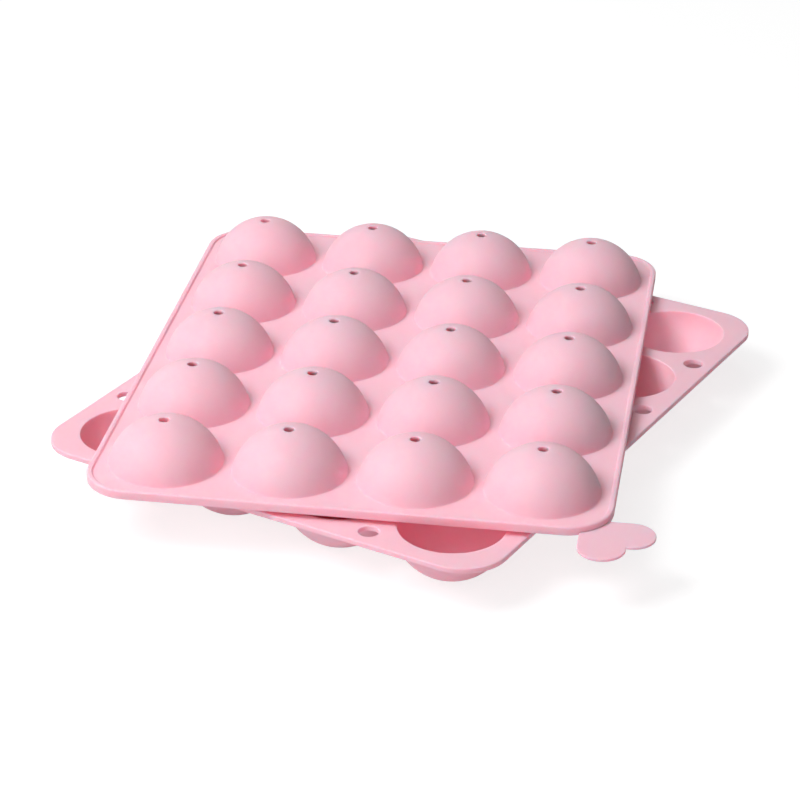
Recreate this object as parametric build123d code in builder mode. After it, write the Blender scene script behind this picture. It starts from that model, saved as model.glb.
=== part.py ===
# Silicone mould in two halves for baking twenty cake pops. Sizes in millimetres.
#
# +Z is up, and the origin is on the table under the middle of the bottom half. X runs along the top half's
# columns and Y along its rows. The top half lies loosely on the bottom half, which is turned beneath it.
# Each half is one moulding. Here it is its plate and its twenty shells, which meet face to face.

import os

from build123d import *

# balls, the same grid in both halves
pitch = 43.5  # between the centres of neighbouring balls
columns = 4
rows = 5
ball_radius = 18.5
shell = 2.0  # wall of the domes and cups
centre_overlap = 2.0  # each half's ball centres lie this far beyond its mating face

# plates
edge_margin = 25.25  # from the centres of the outer balls to the edge
corner_radius = 16.5
bottom_thickness = 2.0
top_thickness = 2.4
edge_round = 0.35
mouth_round = 0.35  # lip of the bottom half's cups
bead_width = 1.9  # raised rim round the top half
bead_height = 0.8
bead_round = 0.6

# studs under the top half, and the holes in the bottom half that they fit
station_offset = 17.7  # from the centres of the outer balls
stud_radius = 3.35
stud_height = 1.6
stud_round = 0.4
stud_clearance = 0.2  # on the radius
hole_round = 0.3

# tips of the shells
foot_depth = 0.4  # sliced off each cup, so that it stands flat
stick_hole_radius = 1.75
stick_hole_round = 0.4

# heart-shaped pull tab at the front right corner, along the diagonal of that corner
tab_thickness = 1.0
tab_round = 0.3
lobe_radius = 8.1
lobe_reach = 26.7  # from the centre of the corner's arc to the lobes' centres
lobe_spread = 6.6  # from the diagonal to each lobe's centre

# how the halves lie
bottom_turn = -21.5  # degrees about +Z
top_shift = (-8.6, 3.3)  # of the top half's middle from the bottom half's
rest_clearance = 0.2  # under the studs, which stand on the bottom half's plate

plate_size = ((columns - 1) * pitch + 2 * edge_margin, (rows - 1) * pitch + 2 * edge_margin)
shell_height = ball_radius + shell - centre_overlap  # of a shell's tip from its mating face
bottom_face_height = shell_height - foot_depth
top_face_height = bottom_face_height + rest_clearance + stud_height

# grids, as spacing along x and y, then number along x and y
ball_grid = (pitch, pitch, columns, rows)
side_stations = ((columns - 1) * pitch + 2 * station_offset, pitch, 2, rows - 1)
end_stations = (pitch, (rows - 1) * pitch + 2 * station_offset, columns - 1, 2)

# The halves' mating faces. Each plane's normal points away from the other half.
turned = Vector(1, 0, 0).rotate(Axis.Z, bottom_turn)
bottom_frame = Plane((0, 0, bottom_face_height), x_dir=turned, z_dir=(0, 0, -1))
top_frame = Plane((*top_shift, top_face_height), x_dir=(1, 0, 0), z_dir=(0, 0, 1))


def write(piece, name):
    piece.part.label = name
    export_step(piece.part, f"parts/{name}.step")


def ball_plane(frame, column, row):
    # the mating face's plane, moved to the axis of one ball; rows count from the front in both halves
    x = (column - (columns + 1) / 2) * pitch
    y = (row - (rows + 1) / 2) * pitch * frame.z_dir.Z
    return Plane(frame.from_local_coords(Vector(x, y, 0)), x_dir=frame.x_dir, z_dir=frame.z_dir)


def hollow_shell(base, plate_thickness):
    # the part of a hollow ball that stands out of the plate
    with BuildPart(base.offset(-centre_overlap)) as cap:
        Sphere(ball_radius + shell)
        Sphere(ball_radius, mode=Mode.SUBTRACT)
        split(bisect_by=base.offset(plate_thickness), keep=Keep.TOP)
    return cap


def dome(column, row):
    base = ball_plane(top_frame, column, row)
    with BuildPart() as piece:
        add(hollow_shell(base, top_thickness).part)
        with Locations(base.offset(shell_height)):
            Hole(stick_hole_radius, depth=2 * shell)
        fillet(piece.edges().filter_by(GeomType.CIRCLE).sort_by(Axis.Z)[-1], stick_hole_round)
    return piece


def cup(column, row):
    base = ball_plane(bottom_frame, column, row)
    with BuildPart() as piece:
        add(hollow_shell(base, bottom_thickness).part)
        split(bisect_by=base.offset(shell_height - foot_depth), keep=Keep.BOTTOM)
    return piece


def pierced_slab(frame, thickness):
    # rounded slab with the balls' cavities cut through it
    with BuildPart() as balls:
        with Locations(frame.offset(-centre_overlap)):
            with GridLocations(*ball_grid):
                Sphere(ball_radius)
    with BuildPart() as slab:
        with BuildSketch(frame):
            RectangleRounded(*plate_size, corner_radius)
        extrude(amount=thickness)
        add(balls.part, mode=Mode.SUBTRACT)
    return slab


def station_pins(frame, radius, height):
    # a round pin midway between each two outer balls, along all four edges
    with BuildPart() as pins:
        with BuildSketch(frame):
            for grid in (side_stations, end_stations):
                with GridLocations(*grid):
                    Circle(radius)
        extrude(amount=height)
    return pins


def face_of(piece, which):
    # a piece's lowest level face, or its highest with which = -1
    return piece.faces().filter_by(Plane.XY).sort_by(Axis.Z)[which]


hole_radius = stud_radius + stud_clearance
with BuildPart() as bottom_plate:
    add(pierced_slab(bottom_frame, bottom_thickness).part)
    add(station_pins(bottom_frame, hole_radius, bottom_thickness).part, mode=Mode.SUBTRACT)
    for level in (0, -1):
        fillet(face_of(bottom_plate, level).outer_wire().edges(), edge_round)
    lips = face_of(bottom_plate, -1).inner_wires().edges()
    hole_lips = lips.filter_by(lambda lip: abs(lip.radius - hole_radius) < stud_clearance)
    fillet(hole_lips, hole_round)
    cup_lips = face_of(bottom_plate, -1).inner_wires().edges().filter_by(lambda lip: lip.radius > pitch / 4)
    fillet(cup_lips, mouth_round)
write(bottom_plate, "bottom_plate")

for column in range(1, columns + 1):
    for row in range(1, rows + 1):
        write(cup(column, row), f"bottom_cup_c{column}r{row}")

with BuildPart() as studs:
    add(station_pins(top_frame, stud_radius, -stud_height).part)
    fillet(studs.faces().filter_by(Plane.XY).group_by(Axis.Z)[0].edges(), stud_round)

with BuildPart() as top_plate:
    add(pierced_slab(top_frame, top_thickness).part)
    add(studs.part)
    with BuildSketch(top_frame.offset(top_thickness)):
        RectangleRounded(*plate_size, corner_radius)
        offset(amount=-bead_width, mode=Mode.SUBTRACT)
    extrude(amount=bead_height)
    fillet(face_of(top_plate, -1).edges(), bead_round)
write(top_plate, "top_plate")

for column in range(1, columns + 1):
    for row in range(1, rows + 1):
        write(dome(column, row), f"top_dome_c{column}r{row}")

# The heart's straight sides run at 45 degrees from its tip, tangent to the lobes.
arc_x = plate_size[0] / 2 - corner_radius
arc_y = plate_size[1] / 2 - corner_radius
tab_frame = Plane(top_frame.from_local_coords(Vector(arc_x, -arc_y, 0)), x_dir=(1, -1, 0), z_dir=(0, 0, 1))
tangent = lobe_radius / 2**0.5
tip = lobe_reach - lobe_spread - 2 * tangent
with BuildPart() as pull_tab:
    with BuildSketch(tab_frame):
        with Locations((lobe_reach, lobe_spread), (lobe_reach, -lobe_spread)):
            Circle(lobe_radius)
        with BuildLine():
            Polyline(
                (tip, 0),
                (lobe_reach - tangent, lobe_spread + tangent),
                (lobe_reach, 0),
                (lobe_reach - tangent, -lobe_spread - tangent),
                close=True,
            )
        make_face()
    extrude(amount=tab_thickness)
    fillet(face_of(pull_tab, 0).edges() + face_of(pull_tab, -1).edges(), tab_round)
    with BuildSketch(tab_frame):
        Circle(corner_radius)
    extrude(amount=tab_thickness, mode=Mode.SUBTRACT)
write(pull_tab, "pull_tab")
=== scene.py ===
import math

import bmesh
import bpy
from mathutils import Matrix, Vector


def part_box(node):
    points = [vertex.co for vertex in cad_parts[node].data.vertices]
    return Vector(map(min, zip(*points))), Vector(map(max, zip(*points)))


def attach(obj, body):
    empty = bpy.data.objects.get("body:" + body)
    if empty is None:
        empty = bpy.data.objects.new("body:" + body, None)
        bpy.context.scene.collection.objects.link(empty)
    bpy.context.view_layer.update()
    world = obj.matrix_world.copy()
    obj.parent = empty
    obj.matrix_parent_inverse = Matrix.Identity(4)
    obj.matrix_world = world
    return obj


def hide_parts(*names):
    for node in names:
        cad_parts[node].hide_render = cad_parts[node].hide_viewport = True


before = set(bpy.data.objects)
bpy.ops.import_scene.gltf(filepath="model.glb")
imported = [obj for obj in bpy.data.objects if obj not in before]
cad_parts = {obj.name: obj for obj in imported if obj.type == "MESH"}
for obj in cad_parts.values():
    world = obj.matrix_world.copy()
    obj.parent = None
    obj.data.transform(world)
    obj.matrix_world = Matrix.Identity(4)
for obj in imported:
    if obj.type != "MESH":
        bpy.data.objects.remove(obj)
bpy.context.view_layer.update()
mm = 0.001  # the mould's own sizes are in millimetres, and places are in metres


def middleOf(node):
    low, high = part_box(node)
    return (low + high) / 2


def addObject(name, data):
    obj = bpy.data.objects.new(name, data)
    bpy.context.collection.objects.link(obj)
    return obj


# The camera looks at a point beside the mould's middle, as the photograph was framed.
camera = {
    "target": (-0.0025, -0.0172, 0.0181),
    "distance": 0.981,
    "turn": 8.79,  # degrees that it stands to the right of straight ahead
    "elevation": 27.13,
    "roll": 0.3,
    "lens": 121.3,  # mm, on the sensor's width
    "sensor": 36,
    "clipStart": 0.05,
}


def makeCamera():
    data = bpy.data.cameras.new("camera")
    data.lens = camera["lens"]
    data.sensor_width = camera["sensor"]
    data.clip_start = camera["clipStart"]
    turn, elevation = math.radians(camera["turn"]), math.radians(camera["elevation"])
    level = math.cos(elevation)
    toCamera = Vector((math.sin(turn) * level, -math.cos(turn) * level, math.sin(elevation)))
    rotation = toCamera.to_track_quat("Z", "Y").to_matrix().to_4x4()
    roll = Matrix.Rotation(math.radians(camera["roll"]), 4, "Z")
    place = Vector(camera["target"]) + toCamera * camera["distance"]
    obj = addObject("camera", data)
    obj.matrix_world = Matrix.Translation(place) @ rotation @ roll
    bpy.context.scene.camera = obj
    print("camera placed")


makeCamera()


# Sizes that both halves share, in millimetres.
mould = {
    "columns": 4,
    "rows": 5,
    "pitch": (middleOf("top_dome_c2r1") - middleOf("top_dome_c1r1")).length / mm,
    "ballRadius": 18.5,
    "wall": 2.0,
    "centreOverlap": 2.0,  # a ball's centre lies this far beyond its half's mating face
    "edgeMargin": 25.25,  # from the outer balls' centres to the edge
    "cornerRadius": 16.5,
    "stationOffset": 17.7,  # from the outer balls' centres to the studs and holes
    "crease": 0.5,  # fillet where a shell leaves its plate
    "level": 0.4,  # width of the level ring round each turned shape, which keeps the plate's shading flat
    "spinSteps": 72,  # round a turned shape
    "cornerSteps": 20,  # round a plate's corner
    "shellSteps": 20,  # along a shell's section
    "roundSteps": 4,  # along the section of a rounded edge
    "footSteps": 3,  # along the smallest of them
    "nearly": 1e-3,  # points closer than this are one
}


def sideOf(hypotenuse, other):
    return math.sqrt(hypotenuse**2 - other**2)


def angleOf(across, up):
    return math.degrees(math.atan2(up, across))


def arc(centre, radius, start, end, steps):
    # points of a section, each (distance from the axis, height), between two angles in degrees
    angles = [math.radians(start + (end - start) * step / steps) for step in range(steps + 1)]
    return [(centre[0] + radius * math.cos(a), centre[1] + radius * math.sin(a)) for a in angles]


def only(geom, kind):
    return [g for g in geom if isinstance(g, kind)]


def addSection(bm, points):
    verts = [bm.verts.new((across, 0, up)) for across, up in points]
    return verts + [bm.edges.new(pair) for pair in zip(verts, verts[1:])]


def spunMesh(sections):
    # the sections turned once round Z
    bm = bmesh.new()
    for points in sections:
        bmesh.ops.spin(
            bm, geom=addSection(bm, points), cent=(0, 0, 0), axis=(0, 0, 1), angle=math.tau,
            steps=mould["spinSteps"], use_merge=True,
        )
    bmesh.ops.remove_doubles(bm, verts=bm.verts, dist=mould["nearly"])
    mesh = bpy.data.meshes.new("spun")
    bm.to_mesh(mesh)
    bm.free()
    return mesh


def addCopies(bm, mesh, places):
    for x, y in places:
        copy = mesh.copy()
        copy.transform(Matrix.Translation((x, y, 0)))
        bm.from_mesh(copy)
        bpy.data.meshes.remove(copy)
    bpy.data.meshes.remove(mesh)


def addRim(bm, points):
    # the rim's section, each point (distance in from the edge, height), swept round the plate's outline
    radius = mould["cornerRadius"]
    x = (mould["columns"] - 1) / 2 * mould["pitch"] + mould["edgeMargin"] - radius
    y = (mould["rows"] - 1) / 2 * mould["pitch"] + mould["edgeMargin"] - radius
    corners = [Vector((x, y, 0)), Vector((-x, y, 0)), Vector((-x, -y, 0)), Vector((x, -y, 0))]
    geom = addSection(bm, [(x + radius - inset, up) for inset, up in points])
    bmesh.ops.translate(bm, verts=only(geom, bmesh.types.BMVert), vec=(0, y, 0))
    for corner, following in zip(corners, corners[1:] + corners[:1]):
        spun = bmesh.ops.spin(
            bm, geom=geom, cent=corner, axis=(0, 0, 1), angle=math.pi / 2, steps=mould["cornerSteps"]
        )
        drawn = bmesh.ops.extrude_edge_only(bm, edges=only(spun["geom_last"], bmesh.types.BMEdge))["geom"]
        verts = only(drawn, bmesh.types.BMVert)
        bmesh.ops.translate(bm, verts=verts, vec=following - corner)
        geom = verts + [e for e in only(drawn, bmesh.types.BMEdge) if set(e.verts) <= set(verts)]
    bmesh.ops.remove_doubles(bm, verts=bm.verts, dist=mould["nearly"])


def fillLevel(bm, height):
    # the flat skin of the plate at one height, between its rim and the shapes turned on it
    atHeight = {v for v in bm.verts if abs(v.co.z - height) < mould["nearly"]}
    edges = [e for e in bm.edges if e.is_boundary and set(e.verts) <= atHeight]
    bmesh.ops.triangle_fill(bm, edges=edges, use_beauty=True, use_dissolve=False, normal=(0, 0, 1))


def ballPlaces():
    columns, rows, pitch = mould["columns"], mould["rows"], mould["pitch"]
    return [
        ((c - (columns - 1) / 2) * pitch, (r - (rows - 1) / 2) * pitch)
        for c in range(columns)
        for r in range(rows)
    ]


def stationPlaces():
    # midway between each two outer balls, along all four edges
    columns, rows, pitch, offset = (mould[k] for k in ("columns", "rows", "pitch", "stationOffset"))
    sideX, endY = (columns - 1) / 2 * pitch + offset, (rows - 1) / 2 * pitch + offset
    sides = [(s * sideX, (r - (rows - 2) / 2) * pitch) for s in (-1, 1) for r in range(rows - 1)]
    ends = [((c - (columns - 2) / 2) * pitch, s * endY) for s in (-1, 1) for c in range(columns - 1)]
    return sides + ends


def creaseSection(plateThickness):
    # from the plate's level ring up the crease to the shell, and the angle at which it gets there
    outer, fillet, overlap = mould["ballRadius"] + mould["wall"], mould["crease"], mould["centreOverlap"]
    up = plateThickness + fillet
    across = sideOf(outer + fillet, up + overlap)
    reached = angleOf(across, up + overlap)
    points = [(across + mould["level"], plateThickness)]
    return points + arc((across, up), fillet, -90, reached - 180, mould["roundSteps"]), reached


def mouthSection(start, rounding):
    # down the inside of the ball from an angle, over the mouth's lip, to the mating face's level ring
    radius, overlap = mould["ballRadius"], mould["centreOverlap"]
    across = sideOf(radius + rounding, overlap + rounding)
    reached = angleOf(across, overlap + rounding)
    inside = arc((0, -overlap), radius, start, reached, mould["shellSteps"])
    lip = arc((across, rounding), rounding, 180 + reached, 270, mould["roundSteps"])
    return inside[:-1] + lip + [(across + mould["level"], 0)]


def finishSkin(bm, name, place, nodes, body):
    # the finished skin in metres, where the frame has that half
    bmesh.ops.transform(bm, matrix=place @ Matrix.Scale(mm, 4), verts=bm.verts)
    bmesh.ops.recalc_face_normals(bm, faces=bm.faces)
    for face in bm.faces:
        face.smooth = True
    mesh = bpy.data.meshes.new(name)
    bm.to_mesh(mesh)
    openEdges = sum(e.is_boundary for e in bm.edges)
    bm.free()
    obj = addObject(name, mesh)
    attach(obj, body)
    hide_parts(*nodes)
    triangles = sum(len(p.vertices) - 2 for p in mesh.polygons)
    print(name, "made:", triangles, "triangles,", openEdges, "open edges")
    return obj


# The top half: a plate with a raised bead round it, domes with a stick hole each, and studs under it.
topHalf = {
    "thickness": 2.4,
    "beadWidth": 1.9,
    "beadHeight": 0.8,
    "beadRound": 0.6,
    "beadFoot": 0.3,  # fillet inside the bead
    "underRound": 0.2,
    "holeRadius": 1.75,
    "holeRound": 0.4,
    "mouthRound": 0.2,
    "studRadius": 3.35,
    "studHeight": 1.6,
    "studRound": 0.4,
    "studFoot": 0.2,
    "domeSteps": 22,  # along the outside of a dome's section
}


def domeSection():
    outer, overlap = mould["ballRadius"] + mould["wall"], mould["centreOverlap"]
    hole, rounding = topHalf["holeRadius"], topHalf["holeRound"]
    points, reached = creaseSection(topHalf["thickness"])
    lipAcross = hole + rounding
    lipUp = sideOf(outer - rounding, lipAcross)
    holeAngle = angleOf(lipAcross, lipUp)
    points = points[:-1] + arc((0, -overlap), outer, reached, holeAngle, topHalf["domeSteps"])
    points = points[:-1] + arc((lipAcross, lipUp - overlap), rounding, holeAngle, 180, mould["roundSteps"])
    inner = angleOf(hole, sideOf(mould["ballRadius"], hole))
    return points + mouthSection(inner, topHalf["mouthRound"])


def studSection():
    radius, height = topHalf["studRadius"], topHalf["studHeight"]
    rounding, foot = topHalf["studRound"], topHalf["studFoot"]
    points = [(radius + foot + mould["level"], 0)]
    points += arc((radius + foot, -foot), foot, 90, 180, mould["footSteps"])
    points += arc((radius - rounding, rounding - height), rounding, 0, -90, mould["roundSteps"])
    return points + [(0, -height)]


def topRimSection():
    thickness, width, height = topHalf["thickness"], topHalf["beadWidth"], topHalf["beadHeight"]
    rounding, foot, under = topHalf["beadRound"], topHalf["beadFoot"], topHalf["underRound"]
    roundSteps, footSteps = mould["roundSteps"], mould["footSteps"]
    crest = thickness + height
    points = [(width + foot + mould["level"], thickness)]
    points += arc((width + foot, thickness + foot), foot, -90, -180, footSteps)
    points += arc((width - rounding, crest - rounding), rounding, 0, 90, roundSteps)
    points += arc((rounding, crest - rounding), rounding, 90, 180, roundSteps)
    points += arc((under, under), under, 180, 270, footSteps)
    return points + [(under + mould["level"], 0)]


def makeTopHalf():
    bm = bmesh.new()
    addRim(bm, topRimSection())
    addCopies(bm, spunMesh([domeSection()]), ballPlaces())
    addCopies(bm, spunMesh([studSection()]), stationPlaces())
    fillLevel(bm, topHalf["thickness"])
    fillLevel(bm, 0)
    middle = middleOf("top_plate")
    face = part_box("top_dome_c1r1")[0].z - topHalf["thickness"] * mm
    nodes = [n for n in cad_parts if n.startswith("top_")]
    return finishSkin(bm, "topSkin", Matrix.Translation((middle.x, middle.y, face)), nodes, "top_half")


topSkin = makeTopHalf()


# The bottom half: a plain plate with locating holes, and cups that stand on small flat feet.
bottomHalf = {
    "thickness": 2.0,
    "edgeRound": 0.35,
    "mouthRound": 0.35,
    "footDepth": 0.4,  # sliced off the cups' tips
    "footRound": 0.3,
    "holeRadius": 3.55,
    "holeRound": 0.3,
}


def cupSections():
    outer, overlap = mould["ballRadius"] + mould["wall"], mould["centreOverlap"]
    rounding = bottomHalf["footRound"]
    foot = outer - overlap - bottomHalf["footDepth"]
    across = sideOf(outer - rounding, foot - rounding + overlap)
    points, reached = creaseSection(bottomHalf["thickness"])
    footAngle = angleOf(across, foot - rounding + overlap)
    points = points[:-1] + arc((0, -overlap), outer, reached, footAngle, mould["shellSteps"])
    points = points[:-1] + arc((across, foot - rounding), rounding, footAngle, 90, mould["footSteps"])
    return [points + [(0, foot)], mouthSection(90, bottomHalf["mouthRound"])]


def holeSection():
    thickness, radius, rounding = bottomHalf["thickness"], bottomHalf["holeRadius"], bottomHalf["holeRound"]
    centre = radius + rounding
    points = [(centre + mould["level"], 0)]
    points += arc((centre, rounding), rounding, 270, 180, mould["roundSteps"])
    points += arc((centre, thickness - rounding), rounding, 180, 90, mould["roundSteps"])
    return points + [(centre + mould["level"], thickness)]


def bottomRimSection():
    thickness, rounding = bottomHalf["thickness"], bottomHalf["edgeRound"]
    points = [(rounding + mould["level"], thickness)]
    points += arc((rounding, thickness - rounding), rounding, 90, 180, mould["roundSteps"])
    points += arc((rounding, rounding), rounding, 180, 270, mould["roundSteps"])
    return points + [(rounding + mould["level"], 0)]


def makeBottomHalf():
    bm = bmesh.new()
    addRim(bm, bottomRimSection())
    addCopies(bm, spunMesh(cupSections()), ballPlaces())
    addCopies(bm, spunMesh([holeSection()]), stationPlaces())
    fillLevel(bm, bottomHalf["thickness"])
    fillLevel(bm, 0)
    middle = middleOf("bottom_plate")
    along = middleOf("bottom_cup_c4r1") - middleOf("bottom_cup_c1r1")
    place = Matrix.Translation((middle.x, middle.y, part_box("bottom_plate")[1].z))
    place = place @ Matrix.Rotation(math.atan2(along.y, along.x), 4, "Z") @ Matrix.Scale(-1, 4, (0, 0, 1))
    nodes = [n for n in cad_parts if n.startswith("bottom_")]
    return finishSkin(bm, "bottomSkin", place, nodes, "bottom_half")


bottomSkin = makeBottomHalf()


def toLinear(colour):
    # sRGB hex to the linear colour that nodes take
    parts = [int(colour[i : i + 2], 16) / 255 for i in (1, 3, 5)]
    return [c / 12.92 if c <= 0.04045 else ((c + 0.055) / 1.055) ** 2.4 for c in parts] + [1.0]


def emptyTree(owner):
    # the node tree of a material or the world, without the nodes that it comes with
    owner.use_nodes = True
    owner.node_tree.nodes.clear()
    return owner.node_tree


def addNode(tree, kind, settings=None, values=None, links=None):
    # one node: its own settings, its inputs' values, and the outputs linked into it
    node = tree.nodes.new(kind)
    for name, value in (settings or {}).items():
        setattr(node, name, value)
    for name, value in (values or {}).items():
        node.inputs[name].default_value = value
    for name, output in (links or {}).items():
        tree.links.new(output, node.inputs[name])
    return node


# Silicone rubber, compression moulded in a satin steel tool. Its walls are thin and let light through, so it
# glows red where the light has passed most rubber. The tool leaves a fine satin grain.
siliconeRubber = {
    "colour": "#FEBECD",
    "paleColour": "#FEC6D4",
    "mottleSize": 16.0,  # mm, drifts of the pigment
    "scatter": (2.5, 0.8, 1.0),  # mm, red, green and blue
    "roughness": 0.62,
    "ior": 1.41,
    "specular": 0.7,
    "grainSize": 0.9,  # mm, coarser than a real tool's, so that it shows
    "grainHeight": 0.012,  # mm
}


def makeSiliconeRubber():
    m = siliconeRubber
    material = bpy.data.materials.new("siliconeRubber")
    tree = emptyTree(material)
    place = addNode(tree, "ShaderNodeTexCoord").outputs["Object"]
    drifts = addNode(
        tree, "ShaderNodeTexNoise",
        values={"Scale": 1 / (m["mottleSize"] * mm), "Detail": 3.0, "Roughness": 0.55},
        links={"Vector": place},
    )
    # its two colours go by number, because several of its inputs are named A and B
    pigment = addNode(
        tree, "ShaderNodeMix", settings={"data_type": "RGBA"},
        values={6: toLinear(m["colour"]), 7: toLinear(m["paleColour"])},
        links={"Factor": drifts.outputs["Fac"]},
    )
    grain = addNode(
        tree, "ShaderNodeTexNoise",
        values={"Scale": 1 / (m["grainSize"] * mm), "Detail": 2.0, "Roughness": 0.6},
        links={"Vector": place},
    )
    relief = addNode(
        tree, "ShaderNodeBump",
        values={"Strength": 1.0, "Distance": m["grainHeight"] * mm},
        links={"Height": grain.outputs["Fac"]},
    )
    shader = addNode(
        tree, "ShaderNodeBsdfPrincipled",
        settings={"subsurface_method": "RANDOM_WALK"},
        values={
            "Roughness": m["roughness"],
            "IOR": m["ior"],
            "Specular IOR Level": m["specular"],
            "Subsurface Weight": 1.0,
            "Subsurface Radius": m["scatter"],
            "Subsurface Scale": mm,
        },
        links={"Base Color": pigment.outputs[2], "Normal": relief.outputs["Normal"]},
    )
    addNode(tree, "ShaderNodeOutputMaterial", links={"Surface": shader.outputs["BSDF"]})
    return material


silicone = makeSiliconeRubber()
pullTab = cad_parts["pull_tab"]
for piece in (topSkin, bottomSkin, pullTab):
    piece.data.materials.clear()
    piece.data.materials.append(silicone)
print("silicone rubber made")


# A white table. The camera sees a darker paint with plain white added to it, so that the mould's shadow stays
# but is fainter.
table = {
    "size": 4.0,
    "gap": 0.0003,  # below the mould's feet
    "colour": "#E8E8E8",
    "seenColour": "#9C9C9C",
    "added": 0.78,  # of plain white
}


def isSeen(tree):
    # rays from the camera, and those that a glossy or clear surface sends on
    path = addNode(tree, "ShaderNodeLightPath").outputs
    glossy = addNode(
        tree, "ShaderNodeMath", settings={"operation": "MAXIMUM"},
        links={0: path["Is Camera Ray"], 1: path["Is Glossy Ray"]},
    )
    clear = addNode(
        tree, "ShaderNodeMath", settings={"operation": "MAXIMUM"},
        links={0: glossy.outputs[0], 1: path["Is Transmission Ray"]},
    )
    return clear.outputs[0]


def makeTable():
    bm = bmesh.new()
    bmesh.ops.create_grid(bm, x_segments=1, y_segments=1, size=table["size"] / 2)
    bmesh.ops.translate(bm, verts=bm.verts, vec=(0, 0, -table["gap"]))
    mesh = bpy.data.meshes.new("table")
    bm.to_mesh(mesh)
    bm.free()
    obj = addObject("table", mesh)
    material = bpy.data.materials.new("matteWhitePaint")
    tree = emptyTree(material)
    paint = addNode(tree, "ShaderNodeBsdfDiffuse", values={"Color": toLinear(table["colour"])})
    seenPaint = addNode(tree, "ShaderNodeBsdfDiffuse", values={"Color": toLinear(table["seenColour"])})
    glow = addNode(tree, "ShaderNodeEmission", values={"Strength": table["added"]})
    seen = addNode(tree, "ShaderNodeAddShader", links={0: seenPaint.outputs[0], 1: glow.outputs[0]})
    surface = addNode(
        tree, "ShaderNodeMixShader",
        links={0: isSeen(tree), 1: paint.outputs[0], 2: seen.outputs[0]},
    )
    addNode(tree, "ShaderNodeOutputMaterial", links={"Surface": surface.outputs[0]})
    mesh.materials.append(material)
    print("table made")


makeTable()


# A big soft lamp at the upper left, and weaker ones overhead and in front; the right side is left dark.
lamps = {
    "key": {"place": (-0.9, -0.55, 1.3), "size": 0.8, "power": 20.4},
    "overhead": {"place": (-0.3, 0.3, 1.5), "size": 1.2, "power": 5.0},
    "front": {"place": (-0.2, -1.4, 0.8), "size": 1.2, "power": 7.0},
}
surroundings = {"colour": "#FFFFFF", "strength": 0.08}  # the camera sees them at strength 1, as white


def makeLights():
    for name, lamp in lamps.items():
        data = bpy.data.lights.new(name, "AREA")
        data.size = lamp["size"]
        data.energy = lamp["power"]
        place = Vector(lamp["place"])
        obj = addObject(name, data)
        obj.matrix_world = Matrix.Translation(place) @ place.to_track_quat("Z", "Y").to_matrix().to_4x4()
    world = bpy.data.worlds.new("studio")
    bpy.context.scene.world = world
    tree = emptyTree(world)
    seen = isSeen(tree)
    strength = addNode(
        tree, "ShaderNodeMapRange", values={"To Min": surroundings["strength"]}, links={"Value": seen}
    )
    background = addNode(
        tree, "ShaderNodeBackground", values={"Color": toLinear(surroundings["colour"])},
        links={"Strength": strength.outputs[0]},
    )
    addNode(tree, "ShaderNodeOutputWorld", links={"Surface": background.outputs[0]})
    print("lights made")


makeLights()
bpy.context.scene.view_settings.view_transform = "Standard"
# Red light crosses the rubber many times before it leaves a cup.
bpy.context.scene.cycles.diffuse_bounces = 12
